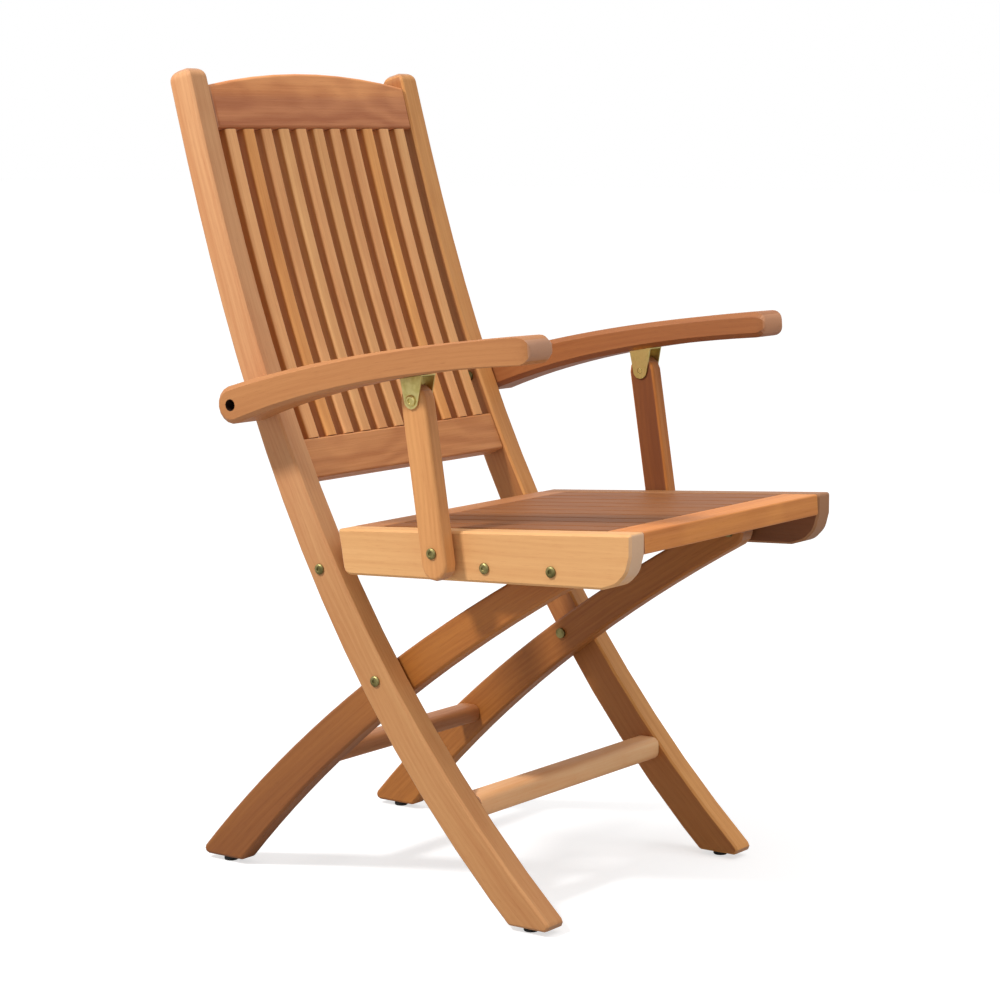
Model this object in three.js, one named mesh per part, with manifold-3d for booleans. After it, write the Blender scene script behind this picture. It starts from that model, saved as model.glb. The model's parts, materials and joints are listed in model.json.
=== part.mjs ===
// Folding teak armchair with slatted seat, curved slatted back and folding arms.
// Millimetres. X across the chair (left side is +X), Y rearwards, Z up.
// In the side view y is counted from the front edge of the seat and z from the ground.
// The finished chair is moved so that the middle of its depth lies at Y zero.

import * as THREE from 'three';
import { mergeVertices } from 'three/addons/utils/BufferGeometryUtils.js';
import Module from 'manifold-3d';

const wasm = await Module();
wasm.setup();

// Fits shared by all joints
const fit = 0.3;
const sideGap = 0.5;
const cutOverrun = 5;
const woodArris = 2.5;

// Back posts, each one bent plank from the front foot to the top of the back
const overallHeight = 891;
const widthOverPosts = 407;
const postThickness = 30;
const postFootSetback = 112.7;
const postKneeSetback = 406.6;
const postKneeHeight = 268.6;
const postShoulderSetback = 512;
const postShoulderHeight = 589.4;
const postTopSetback = 592.8;
const postFootDepth = 41.5;
const postKneeDepth = 42.5;
const postWaistDepth = 34.3;
const postTopDepth = 31;
const postTopCorner = 11;
const footCorner = 6;

// Seat frame
const seatFrontHeight = 427;
const seatRearHeight = 401.5;
const seatRailPostGap = 22.8;
const seatRailThickness = 26.5;
const seatRailSetIn = 1.5;
const seatRailRearDepth = 49;
const seatRailFrontDepth = 57;
const seatRailNoseRadius = 36;
const seatRailTopCorner = 3;
const seatRailHeelRadius = 9;
const seatFrontRailDepth = 45;
const seatFrontRailThickness = 23;
const seatRearRailDepth = 38;
const seatRearRailThickness = 21;
const seatSlatCount = 10;
const seatSlatGap = 2.8;
const seatSideGap = 6;
const seatSlatThickness = 14;
const seatSlatArris = 0.8;

// Rear legs
const rearFootSetback = 578;
const rearLegBelowCrossing = 5.8;
const rearLegThickness = 24.5;
const rearLegFootDepth = 48;
const rearLegTopDepth = 35.5;

// Pivots on the post, given by their height
const crossingHeight = 242.5;
const crossingAheadOfLine = 2.1;
const linkPivotHeight = 356;
const linkPivotBehindLine = 3.4;
const armPivotHeight = 532.4;
const armPivotAheadOfLine = 2.2;

// Pivots on the seat rail, given from its front end and its underside
const legPinSetback = 95.5;
const legPinRise = 15.5;
const linkPinSetback = 178.6;
const linkPinRise = 15.2;
const supportPinSetback = 228.3;
const supportPinRise = 31.4;

// Flat metal links that steer the rear of the seat
const linkThickness = 3;
const linkWidth = 16;

// Arms
const armReach = 386.4;
const armNoseRise = 76;
const armCrownReach = 160;
const armCrownRise = 56;
const armPivotDepth = 41;
const armWaistDepth = 25.6;
const armNoseDepth = 29;
const armRearWidth = 53;
const armFrontWidth = 48;
const armNoseCorner = 10;
const armPlanCorner = 14;
const armArris = 5.5;
const armBoreRadius = 6.6;
const armBoreDepth = 20;

// Arm supports and their brackets
const supportTopReach = 221.6;
const supportThickness = 20;
const supportWidth = 32;
const supportHeel = 29;
const bracketSheet = 1.5;
const bracketWidth = 28;
const bracketEyeRadius = 9.2;
const bracketDrop = 25;

// Rails of the back
const topRailWidth = 48;
const topRailBelowTop = 20;
const topRailArch = 14.4;
const topRailThickness = 23;
const lowerRailWidth = 41;
const lowerRailThickness = 22;
const backRailAheadOfLine = 4;
const backSlatAheadOfLine = 6.5;
const backSlatCount = 11;
const backSlatWidth = 18.6;
const backSlatPitch = 30.3;
const backSlatThickness = 15;

// Stretchers
const frontStretcherAheadOfLine = 6.8;
const frontStretcherHeight = 116;
const frontStretcherDepth = 31;
const frontStretcherThickness = 25;
const rearStretcherBehindLine = 5.4;
const rearStretcherHeight = 132;
const rearStretcherDepth = 30;
const rearStretcherThickness = 21;
const stretcherCorner = 8;

// Tenons of rails and stretchers
const tenonLength = 16;
const tenonShoulder = 6;

// Bolts
const boltRadius = 3;
const boltClearance = 0.3;
const headRadius = 6;
const headHeight = 2.6;
const nutRadius = 6;
const nutHeight = 3;
const collarRadius = 7;

// Foot pads
const padRadius = 8;
const padHeight = 5;
const padEdge = 0.8;
const frontPadInset = 16;
const rearPadInset = 10.5;

// Shares. The lower rail's is of the way from the link's pivot up to the arm's.
const smallShare = 0.001;
const overshootShare = 0.06;
const kneeShare = 0.6;
const rearLegCrossingShare = 0.583;
const lowerRailShare = 0.621;
const heelShare = 0.35;
const domeShare = 0.72;

// Counts of facets
const curveSteps = 20;
const slatSteps = 9;
const cornerSteps = 3;
const roundFacets = 12;
const halvings = 40;

// Layers across the chair, from the middle of the chair outwards
const postOuter = widthOverPosts / 2;
const postInner = postOuter - postThickness;
const railOuter = postOuter - seatRailSetIn;
const railInner = railOuter - seatRailThickness;
const linkOuter = postInner - fit;
const linkInner = linkOuter - linkThickness;
const rearLegOuter = linkInner - fit;
const rearLegInner = rearLegOuter - rearLegThickness;
const armInner = postOuter + sideGap;
const tabInner = armInner + fit;
const supportInner = tabInner + bracketSheet + sideGap;
const supportOuter = supportInner + supportThickness;
const outerTabInner = supportOuter + sideGap;
const outerTabOuter = outerTabInner + bracketSheet;
const legFootCut = padHeight + fit;

// Heights of the back's rails
const topRailEndHeight = overallHeight - topRailBelowTop;
const topRailFoot = topRailEndHeight - topRailWidth;
const lowerRailHeight = THREE.MathUtils.lerp(linkPivotHeight, armPivotHeight, lowerRailShare);
const lowerRailTop = lowerRailHeight + lowerRailWidth / 2;

// Finishes
const teak = new THREE.MeshStandardMaterial({ color: 0xc07f4d, roughness: 0.55, metalness: 0 });
const lightTeak = new THREE.MeshStandardMaterial({ color: 0xd79a66, roughness: 0.55, metalness: 0 });
const redTeak = new THREE.MeshStandardMaterial({ color: 0xab7354, roughness: 0.55, metalness: 0 });
const brass = new THREE.MeshStandardMaterial({ color: 0xb89a52, roughness: 0.35, metalness: 1 });
const rubber = new THREE.MeshStandardMaterial({ color: 0x1a1a1a, roughness: 0.9, metalness: 0 });

// Solids

function solidOf(geometry) {
  const bare = geometry.clone();
  bare.deleteAttribute('normal');
  bare.deleteAttribute('uv');
  const merged = mergeVertices(bare);
  const vertProperties = Float32Array.from(merged.attributes.position.array);
  const triVerts = Uint32Array.from(merged.index.array);
  return new wasm.Manifold(new wasm.Mesh({ numProp: 3, vertProperties, triVerts }));
}

function geometryOf(solid) {
  const mesh = solid.getMesh();
  const geometry = new THREE.BufferGeometry();
  geometry.setAttribute('position', new THREE.BufferAttribute(Float32Array.from(mesh.vertProperties), 3));
  geometry.setIndex(new THREE.BufferAttribute(Uint32Array.from(mesh.triVerts), 1));
  geometry.computeVertexNormals();
  return geometry;
}

function cut(geometry, tools) {
  let solid = solidOf(geometry);
  for (const tool of tools) solid = solid.subtract(solidOf(tool));
  return geometryOf(solid);
}

function join(geometry, additions) {
  let solid = solidOf(geometry);
  for (const addition of additions) solid = solid.add(solidOf(addition));
  return geometryOf(solid);
}

function common(geometry, other) {
  return geometryOf(solidOf(geometry).intersect(solidOf(other)));
}

function mirrored(geometry) {
  const flat = geometry.index ? geometry.toNonIndexed() : geometry.clone();
  flat.scale(-1, 1, 1);
  const position = flat.attributes.position;
  const first = new THREE.Vector3();
  const third = new THREE.Vector3();
  for (let corner = 0; corner < position.count; corner += 3) {
    first.fromBufferAttribute(position, corner);
    third.fromBufferAttribute(position, corner + 2);
    position.setXYZ(corner, third.x, third.y, third.z);
    position.setXYZ(corner + 2, first.x, first.y, first.z);
  }
  flat.computeVertexNormals();
  return flat;
}

// Outlines in the side view

function lengthAlong(points, distance) {
  let left = distance;
  for (let step = 1; step < points.length; step += 1) {
    const span = points[step].distanceTo(points[step - 1]);
    if (left <= span) return { step, point: points[step - 1].clone().lerp(points[step], left / span) };
    left -= span;
  }
  return { step: points.length, point: points[points.length - 1].clone() };
}

function trimmed(points, atStart, atEnd) {
  const opened = lengthAlong(points, atStart);
  const shorter = [opened.point, ...points.slice(opened.step)].reverse();
  const closed = lengthAlong(shorter, atEnd);
  return [closed.point, ...shorter.slice(closed.step)].reverse();
}

// Round corner between a side that ends and a side that starts at the same point
function cornerOf(side, next, radius) {
  const corner = side[side.length - 1];
  const back = side[side.length - 2].clone().sub(corner).normalize();
  const ahead = next[1].clone().sub(corner).normalize();
  const half = Math.acos(back.dot(ahead)) / 2;
  const centre = corner.clone().addScaledVector(back.clone().add(ahead).normalize(), radius / Math.sin(half));
  const start = corner.clone().addScaledVector(back, radius / Math.tan(half)).sub(centre).angle();
  const end = corner.clone().addScaledVector(ahead, radius / Math.tan(half)).sub(centre).angle();
  const turn = Math.atan2(Math.sin(end - start), Math.cos(end - start));
  return { cutBack: radius / Math.tan(half), points: arc(centre, radius, start, start + turn, cornerSteps) };
}

// Sides follow each other round the outline; radii[i] rounds the end of side i.
function outlineOf(sides, radii) {
  const corners = sides.map((side, index) => {
    const next = sides[(index + 1) % sides.length];
    return radii[index] > 0 ? cornerOf(side, next, radii[index]) : { cutBack: 0, points: [] };
  });
  const path = sides.flatMap((side, index) => {
    const before = corners[(index + sides.length - 1) % sides.length];
    const after = corners[index];
    return [...trimmed(side, before.cutBack, after.cutBack), ...after.points];
  });
  return path.filter((point, index) => point.distanceTo(path[(index + path.length - 1) % path.length]) > fit);
}

// Part of a rising side between two heights
function betweenHeights(points, low, high) {
  const kept = [];
  for (let step = 1; step < points.length; step += 1) {
    const from = points[step - 1];
    const to = points[step];
    for (const level of [low, high]) {
      if ((from.y - level) * (to.y - level) < 0) {
        kept.push(from.clone().lerp(to, (level - from.y) / (to.y - from.y)));
      }
    }
    if (to.y > low && to.y < high) kept.push(to.clone());
  }
  return kept;
}

function arc(centre, radius, fromAngle, toAngle, steps) {
  return Array.from({ length: steps + 1 }, (_, step) => {
    const angle = fromAngle + ((toAngle - fromAngle) * step) / steps;
    return new THREE.Vector2(centre.x + radius * Math.cos(angle), centre.y + radius * Math.sin(angle));
  });
}

// Both faces of a bent member: front is the left side of its line, rear the right side
function facesOf(line, depthAt, from, to, steps = curveSteps) {
  const front = [];
  const rear = [];
  for (let step = 0; step <= steps; step += 1) {
    const share = from + ((to - from) * step) / steps;
    const point = line(share);
    const ahead = line(share + smallShare).sub(line(share - smallShare)).normalize();
    const across = new THREE.Vector2(-ahead.y, ahead.x).multiplyScalar(depthAt(share) / 2);
    front.push(point.clone().add(across));
    rear.push(point.clone().sub(across));
  }
  return { front, rear };
}

function bezier(points) {
  return (share) => {
    let row = points.map((point) => point.clone());
    while (row.length > 1) row = row.slice(1).map((point, index) => row[index].clone().lerp(point, share));
    return row[0];
  };
}

function shareAtHeight(line, height) {
  let low = -overshootShare;
  let high = 1 + overshootShare;
  for (let halving = 0; halving < halvings; halving += 1) {
    const middle = (low + high) / 2;
    if (line(middle).y < height) low = middle;
    else high = middle;
  }
  return (low + high) / 2;
}

// Solids from outlines

const sideView = new THREE.Matrix4().makeBasis(
  new THREE.Vector3(0, 1, 0),
  new THREE.Vector3(0, 0, 1),
  new THREE.Vector3(1, 0, 0),
);

function extruded(outline, thickness, arris) {
  return new THREE.ExtrudeGeometry(new THREE.Shape(outline), {
    depth: thickness - 2 * arris,
    bevelEnabled: arris > 0,
    bevelThickness: arris,
    bevelSize: arris,
    bevelOffset: -arris,
    bevelSegments: 1,
    steps: 1,
  }).translate(0, 0, arris);
}

function plate(outline, inner, outer, arris) {
  return extruded(outline, outer - inner, arris).translate(0, 0, inner).applyMatrix4(sideView);
}

function rod(at, radius, inner, outer) {
  const cylinder = new THREE.CylinderGeometry(radius, radius, outer - inner, roundFacets);
  return cylinder.rotateZ(-Math.PI / 2).translate((inner + outer) / 2, at.x, at.y);
}

function hole(at, inner, outer) {
  return rod(at, boltRadius + boltClearance, inner - cutOverrun, outer + cutOverrun);
}

function box(width, depth, height) {
  return new THREE.BoxGeometry(width, depth, height);
}

function roundedSection(depth, height, corner) {
  const y = depth / 2;
  const z = height / 2;
  const corners = [[-y, -z], [y, -z], [y, z], [-y, z]].map(([a, b]) => new THREE.Vector2(a, b));
  const sides = corners.map((point, index) => [point, corners[(index + 1) % corners.length]]);
  return outlineOf(sides, corners.map(() => corner));
}

// Turns a piece made upright at the origin to the slope of the back and sets it in place.
function settle(geometry, at, lean) {
  return geometry.rotateX(-lean).translate(0, at.x, at.y);
}

// A bolt along X: domed head outside, shaft inwards, with an optional nut and collar.
function bolt(at, headFace, tip, { nut = false, collar = null } = {}) {
  const profile = [[0, tip]];
  if (nut) profile.push([nutRadius, tip], [nutRadius, tip + nutHeight], [boltRadius, tip + nutHeight]);
  else profile.push([boltRadius, tip]);
  if (collar) {
    const [from, to] = collar;
    profile.push([boltRadius, from], [collarRadius, from], [collarRadius, to], [boltRadius, to]);
  }
  const crown = headFace + headHeight;
  profile.push([boltRadius, headFace], [headRadius, headFace], [headRadius, (headFace + crown) / 2]);
  profile.push([headRadius * domeShare, crown], [0, crown]);
  const distinct = profile.filter(([r, x], index) => {
    const last = profile[index - 1];
    return index === 0 || Math.hypot(r - last[0], x - last[1]) > 0;
  });
  const lathe = new THREE.LatheGeometry(distinct.map(([r, x]) => new THREE.Vector2(r, x)), roundFacets);
  return lathe.rotateZ(-Math.PI / 2).translate(0, at.x, at.y);
}

// Lines of the side view

const postLine = bezier([
  new THREE.Vector2(postFootSetback, 0),
  new THREE.Vector2(postKneeSetback, postKneeHeight),
  new THREE.Vector2(postShoulderSetback, postShoulderHeight),
  new THREE.Vector2(postTopSetback, overallHeight),
]);

function postDepthAt(share) {
  const knee = shareAtHeight(postLine, postKneeHeight * kneeShare);
  const waist = shareAtHeight(postLine, armPivotHeight);
  if (share < knee) return THREE.MathUtils.mapLinear(share, 0, knee, postFootDepth, postKneeDepth);
  if (share < waist) return THREE.MathUtils.mapLinear(share, knee, waist, postKneeDepth, postWaistDepth);
  return THREE.MathUtils.mapLinear(share, waist, 1, postWaistDepth, postTopDepth);
}

function onPost(height) {
  return postLine(shareAtHeight(postLine, height));
}

// Lean of the back from upright at a height, tipping rearwards
function leanAt(height) {
  const share = shareAtHeight(postLine, height);
  const ahead = postLine(share + smallShare).sub(postLine(share - smallShare));
  return Math.atan2(ahead.x, ahead.y);
}

// Where a rising side of an outline reaches a height
function setbackAt(side, height) {
  const next = side.findIndex((point) => point.y > height);
  const [from, to] = [side[next - 1], side[next]];
  return THREE.MathUtils.mapLinear(height, from.y, to.y, from.x, to.x);
}

const postFaces = facesOf(postLine, postDepthAt, -overshootShare, 1 + overshootShare);
const seatRailLength = setbackAt(postFaces.front, seatRearHeight) - seatRailPostGap;
const railSlope = (seatFrontHeight - seatRearHeight) / seatRailLength;
const seatTopAt = (setback) => seatFrontHeight - railSlope * setback;
const railDepthSlope = (seatRailFrontDepth - seatRailRearDepth) / seatRailLength;
const seatUndersideAt = (setback) => seatTopAt(setback) - seatRailFrontDepth + railDepthSlope * setback;
const seatTilt = Math.atan(railSlope);

// A point of the seat by its distance behind the front edge and below the top, along the tilted seat
function onSeat(along, below) {
  return new THREE.Vector2(
    along * Math.cos(seatTilt) - below * Math.sin(seatTilt),
    seatFrontHeight - along * Math.sin(seatTilt) - below * Math.cos(seatTilt),
  );
}

const frontRailStart = seatFrontRailThickness * Math.tan(seatTilt);
const frontRailEnd = frontRailStart + seatFrontRailDepth;
const rearRailEnd = seatRailLength / Math.cos(seatTilt);
const rearRailStart = rearRailEnd - seatRearRailDepth;
const onRail = (setback, rise) => new THREE.Vector2(setback, seatUndersideAt(setback) + rise);

const crossing = onPost(crossingHeight).sub(new THREE.Vector2(crossingAheadOfLine, 0));
const linkPivot = onPost(linkPivotHeight).add(new THREE.Vector2(linkPivotBehindLine, 0));
const armPivot = onPost(armPivotHeight).sub(new THREE.Vector2(armPivotAheadOfLine, 0));
const legPin = onRail(legPinSetback, legPinRise);
const linkPin = onRail(linkPinSetback, linkPinRise);
const supportPin = onRail(supportPinSetback, supportPinRise);

// The quadratic curve from one end to the other that passes through a point at a share of its way
function bendThrough(start, point, end, share) {
  const left = 1 - share;
  const bend = point.clone().addScaledVector(start, -left * left).addScaledVector(end, -share * share);
  return bezier([start, bend.divideScalar(2 * left * share), end]);
}

const rearFoot = new THREE.Vector2(rearFootSetback, 0);
const belowCrossing = new THREE.Vector2(crossing.x, crossing.y - rearLegBelowCrossing);
const rearLegLine = bendThrough(rearFoot, belowCrossing, legPin, rearLegCrossingShare);
const onRearLeg = (height) => rearLegLine(shareAtHeight(rearLegLine, height));
const rearLegDepthAt = (share) => THREE.MathUtils.lerp(rearLegFootDepth, rearLegTopDepth, share);

const armNose = new THREE.Vector2(armPivot.x - armReach, armPivot.y + armNoseRise);
const armLine = bezier([
  armPivot,
  new THREE.Vector2(armPivot.x - armCrownReach, armPivot.y + armCrownRise),
  armNose,
]);
const armDepths = [armPivotDepth, armWaistDepth, armNoseDepth].map((depth) => new THREE.Vector2(depth, 0));
const armDepthAt = (share) => bezier(armDepths)(share).x;

function armUndersideAt(setback) {
  const { front } = facesOf(armLine, armDepthAt, 0, 1);
  const next = front.findIndex((point) => point.x < setback);
  const [from, to] = [front[next - 1], front[next]];
  return THREE.MathUtils.mapLinear(setback, from.x, to.x, from.y, to.y);
}

const supportTopSetback = armPivot.x - supportTopReach;
const supportTop = new THREE.Vector2(supportTopSetback, armUndersideAt(supportTopSetback) - bracketDrop);

// Tenons: boxes on a rail, and the same boxes with clearance that cut their mortises

function tenonPair(depth, height, innerFace, at, lean, clearance) {
  const length = tenonLength + fit + clearance;
  const make = (sign) => {
    const block = box(
      length + cutOverrun,
      depth - 2 * tenonShoulder + 2 * clearance,
      height - 2 * tenonShoulder + 2 * clearance,
    );
    block.translate(sign * (innerFace - fit + (length - cutOverrun) / 2), 0, 0);
    return settle(block, at, lean);
  };
  return [make(-1), make(1)];
}

const backRailShift = new THREE.Vector2(backRailAheadOfLine, 0);

const crossPieces = {
  front_stretcher: {
    at: onPost(frontStretcherHeight).sub(new THREE.Vector2(frontStretcherAheadOfLine, 0)),
    depth: frontStretcherDepth,
    height: frontStretcherThickness,
    corner: stretcherCorner,
    innerFace: postInner,
    lean: 0,
  },
  rear_stretcher: {
    at: onRearLeg(rearStretcherHeight).add(new THREE.Vector2(rearStretcherBehindLine, 0)),
    depth: rearStretcherDepth,
    height: rearStretcherThickness,
    corner: stretcherCorner,
    innerFace: rearLegInner,
    lean: 0,
  },
  lower_back_rail: {
    at: onPost(lowerRailHeight).sub(backRailShift),
    depth: lowerRailThickness,
    height: lowerRailWidth / Math.cos(leanAt(lowerRailTop)),
    corner: woodArris,
    innerFace: postInner,
    lean: leanAt(lowerRailHeight),
  },
  seat_front_rail: {
    at: onSeat((frontRailStart + frontRailEnd) / 2, seatFrontRailThickness / 2),
    depth: seatFrontRailDepth,
    height: seatFrontRailThickness,
    corner: woodArris,
    innerFace: railInner,
    lean: seatTilt,
  },
  seat_rear_rail: {
    at: onSeat((rearRailStart + rearRailEnd) / 2, seatRearRailThickness / 2),
    depth: seatRearRailDepth,
    height: seatRearRailThickness,
    corner: woodArris,
    innerFace: railInner,
    lean: seatTilt,
  },
};

function crossPiece(name) {
  const { at, depth, height, corner, innerFace, lean } = crossPieces[name];
  const reach = innerFace - fit;
  const bar = plate(roundedSection(depth, height, corner), -reach, reach, 0);
  return join(settle(bar, at, lean), tenonPair(depth, height, innerFace, at, lean, 0));
}

function mortises(name) {
  const { at, depth, height, innerFace, lean } = crossPieces[name];
  return tenonPair(depth, height, innerFace, at, lean, fit);
}

// Top rail: a tilted board between the posts whose upper edge is an arch

const topRailLean = leanAt((topRailFoot + topRailEndHeight) / 2);
const topRailMiddle = onPost((topRailFoot + topRailEndHeight) / 2).sub(backRailShift);
const topRailHeight = topRailWidth / Math.cos(topRailLean);

function topRail() {
  const reach = postInner - fit;
  const archRise = topRailArch / Math.cos(topRailLean);
  const archRadius = (reach * reach + archRise * archRise) / (2 * archRise);
  const archCentre = new THREE.Vector2(0, topRailHeight / 2 + archRise - archRadius);
  const archAngle = Math.asin(reach / archRadius);
  const upright = Math.PI / 2;
  const top = arc(archCentre, archRadius, upright - archAngle, upright + archAngle, slatSteps);
  const foot = -topRailHeight / 2;
  const lowRight = new THREE.Vector2(reach, foot);
  const lowLeft = new THREE.Vector2(-reach, foot);
  const outline = [lowLeft, lowRight, ...top];
  const board = extruded(outline, topRailThickness, woodArris).translate(0, 0, -topRailThickness / 2);
  board.rotateX(Math.PI / 2);
  return join(settle(board, topRailMiddle, topRailLean), topRailTenons(0));
}

function topRailTenons(clearance) {
  return tenonPair(topRailThickness, topRailHeight, postInner, topRailMiddle, topRailLean, clearance);
}

// Posts

function post() {
  const front = betweenHeights(postFaces.front, legFootCut, overallHeight);
  const rear = betweenHeights(postFaces.rear, legFootCut, overallHeight);
  const top = [front[front.length - 1], rear[rear.length - 1]];
  const foot = [rear[0], front[0]];
  const outline = outlineOf(
    [front, top, [...rear].reverse(), foot],
    [postTopCorner, postTopCorner, footCorner, footCorner],
  );
  const holes = [crossing, linkPivot, armPivot].map((at) => hole(at, postInner, postOuter));
  const plank = plate(outline, postInner, postOuter, woodArris);
  return cut(plank, [
    ...holes,
    ...mortises('front_stretcher'),
    ...mortises('lower_back_rail'),
    ...topRailTenons(fit),
  ]);
}

// Back slats run ahead of the line of the posts, between the two rails.

function backSlat(index) {
  const middle = (index - (backSlatCount - 1) / 2) * backSlatPitch;
  const low = shareAtHeight(postLine, lowerRailTop - cutOverrun);
  const high = shareAtHeight(postLine, topRailFoot + cutOverrun);
  const faceAhead = (ahead) => facesOf(postLine, () => 2 * ahead, low, high, slatSteps).front;
  const front = faceAhead(backSlatAheadOfLine + backSlatThickness / 2);
  const rear = faceAhead(backSlatAheadOfLine - backSlatThickness / 2);
  const strip = [...front, ...rear.reverse()];
  const slat = plate(strip, middle - backSlatWidth / 2, middle + backSlatWidth / 2, woodArris);
  const { at, depth, height, lean } = crossPieces.lower_back_rail;
  const lowerSpace = box(widthOverPosts, depth + 2 * fit, height + 2 * fit);
  const upperSpace = box(widthOverPosts, topRailThickness + 2 * fit, topRailHeight + 2 * fit);
  return cut(slat, [settle(lowerSpace, at, lean), settle(upperSpace, topRailMiddle, topRailLean)]);
}

// Rear legs

function rearLeg() {
  const faces = facesOf(rearLegLine, rearLegDepthAt, -overshootShare, 1);
  const lower = betweenHeights(faces.front, legFootCut, overallHeight);
  const upper = betweenHeights(faces.rear, legFootCut, overallHeight);
  const ahead = rearLegLine(1).sub(rearLegLine(1 - smallShare));
  const heading = Math.atan2(ahead.y, ahead.x);
  const quarter = Math.PI / 2;
  const end = arc(legPin, rearLegTopDepth / 2, heading + quarter, heading - quarter, 2 * cornerSteps);
  const foot = [upper[0], lower[0]];
  const outline = outlineOf([lower, end, [...upper].reverse(), foot], [0, 0, footCorner, footCorner]);
  const plank = plate(outline, rearLegInner, rearLegOuter, woodArris);
  const holes = [crossing, legPin].map((at) => hole(at, rearLegInner, rearLegOuter));
  return cut(plank, [...holes, ...mortises('rear_stretcher')]);
}

// Seat rails: their rear ends are cut along the front of the posts.

function seatRail() {
  const frontTop = new THREE.Vector2(0, seatTopAt(0));
  const frontFoot = new THREE.Vector2(0, seatUndersideAt(0));
  const rearTop = new THREE.Vector2(seatRailLength, seatTopAt(seatRailLength));
  const heelSetback = seatRailLength - seatRailRearDepth * Math.tan(leanAt(seatRearHeight)) * heelShare;
  const rearFoot = new THREE.Vector2(heelSetback, seatUndersideAt(heelSetback));
  const outline = outlineOf(
    [[frontFoot, rearFoot], [rearFoot, rearTop], [rearTop, frontTop], [frontTop, frontFoot]],
    [seatRailHeelRadius, seatRailTopCorner, seatRailTopCorner, seatRailNoseRadius],
  );
  const plank = plate(outline, railInner, railOuter, woodArris);
  const holes = [legPin, linkPin, supportPin].map((at) => hole(at, railInner, railOuter));
  return cut(plank, [...holes, ...mortises('seat_front_rail'), ...mortises('seat_rear_rail')]);
}

function seatSlat(index) {
  const room = 2 * (railInner - fit);
  const width = (room - 2 * seatSideGap - (seatSlatCount - 1) * seatSlatGap) / seatSlatCount;
  const start = -room / 2 + seatSideGap + index * (width + seatSlatGap);
  const front = frontRailEnd + fit;
  const rear = rearRailStart - fit;
  const outline = [
    onSeat(front, seatSlatThickness),
    onSeat(rear, seatSlatThickness),
    onSeat(rear, 0),
    onSeat(front, 0),
  ];
  return plate(outline, start, start + width, seatSlatArris);
}

// Straps: bars with two round ends

function strap(from, to, radius) {
  const ahead = to.clone().sub(from);
  const heading = Math.atan2(ahead.y, ahead.x);
  const quarter = Math.PI / 2;
  return [
    ...arc(to, radius, heading - quarter, heading + quarter, 2 * cornerSteps),
    ...arc(from, radius, heading + quarter, heading + 3 * quarter, 2 * cornerSteps),
  ];
}

function foldLink() {
  const bar = plate(strap(linkPivot, linkPin, linkWidth / 2), linkInner, linkOuter, 0);
  return cut(bar, [linkPin, linkPivot].map((at) => hole(at, linkInner, linkOuter)));
}

function support() {
  const radius = supportWidth / 2;
  const down = supportPin.clone().sub(supportTop).normalize();
  const lowEnd = supportPin.clone().addScaledVector(down, supportHeel - radius);
  const bar = plate(strap(supportTop, lowEnd, radius), supportInner, supportOuter, woodArris);
  return cut(bar, [supportTop, supportPin].map((at) => hole(at, supportInner, supportOuter)));
}

// Arms: the side view's outline, cut to the tapering outline of the plan

const armOuter = armInner + armRearWidth;

function armPlan() {
  const noseLine = Math.min(...facesOf(armLine, armDepthAt, 0, 1).rear.map((point) => point.x));
  const tail = armPivot.x + armPivotDepth;
  const innerFront = new THREE.Vector2(armInner, noseLine);
  const outerFront = new THREE.Vector2(armInner + armFrontWidth, noseLine);
  const outerTail = new THREE.Vector2(armOuter, tail);
  const innerTail = new THREE.Vector2(armInner, tail);
  const outline = outlineOf(
    [[innerTail, innerFront], [innerFront, outerFront], [outerFront, outerTail], [outerTail, innerTail]],
    [armPlanCorner, armPlanCorner, 0, 0],
  );
  return extruded(outline, overallHeight, 0);
}

function arm() {
  const faces = facesOf(armLine, armDepthAt, 0, 1);
  const ahead = armLine(smallShare).sub(armLine(0));
  const heading = Math.atan2(ahead.y, ahead.x);
  const quarter = Math.PI / 2;
  const end = arc(armPivot, armPivotDepth / 2, heading - quarter, heading - 3 * quarter, 3 * cornerSteps);
  const nose = [faces.front[curveSteps], faces.rear[curveSteps]];
  const outline = outlineOf(
    [faces.front, nose, [...faces.rear].reverse(), end],
    [armNoseCorner, armNoseCorner, 0, 0],
  );
  const bar = plate(outline, armInner, armOuter, armArris);
  const bore = rod(armPivot, armBoreRadius, armOuter - armBoreDepth, armOuter + cutOverrun);
  return cut(common(bar, armPlan()), [hole(armPivot, armInner, armOuter), bore]);
}

// Brackets: folded sheet under the arm with an ear on each side of the support

function bracket() {
  const front = supportTop.x - bracketWidth / 2;
  const rear = supportTop.x + bracketWidth / 2;
  const topAt = (setback) => armUndersideAt(setback) - fit;
  const web = [
    new THREE.Vector2(front, topAt(front) - bracketSheet),
    new THREE.Vector2(rear, topAt(rear) - bracketSheet),
    new THREE.Vector2(rear, topAt(rear)),
    new THREE.Vector2(front, topAt(front)),
  ];
  const ear = [web[3], web[2], ...arc(supportTop, bracketEyeRadius, 0, -Math.PI, 2 * cornerSteps)];
  const ears = [
    plate(ear, tabInner, tabInner + bracketSheet, 0),
    plate(ear, outerTabInner, outerTabOuter, 0),
  ];
  const folded = join(plate(web, tabInner, outerTabOuter, 0), ears);
  return cut(folded, [hole(supportTop, tabInner, outerTabOuter)]);
}

// Foot pads

function pad(x, setback) {
  const profile = [
    [0, 0],
    [padRadius - padEdge, 0],
    [padRadius, padEdge],
    [padRadius, padHeight],
    [0, padHeight],
  ].map(([r, z]) => new THREE.Vector2(r, z));
  const disc = new THREE.LatheGeometry(profile, roundFacets);
  return disc.rotateX(Math.PI / 2).translate(x, setback, 0);
}

// The chair

const chair = new THREE.Group();

function add(name, geometry, material) {
  const mesh = new THREE.Mesh(geometry, material);
  mesh.name = name;
  chair.add(mesh);
}

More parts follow.
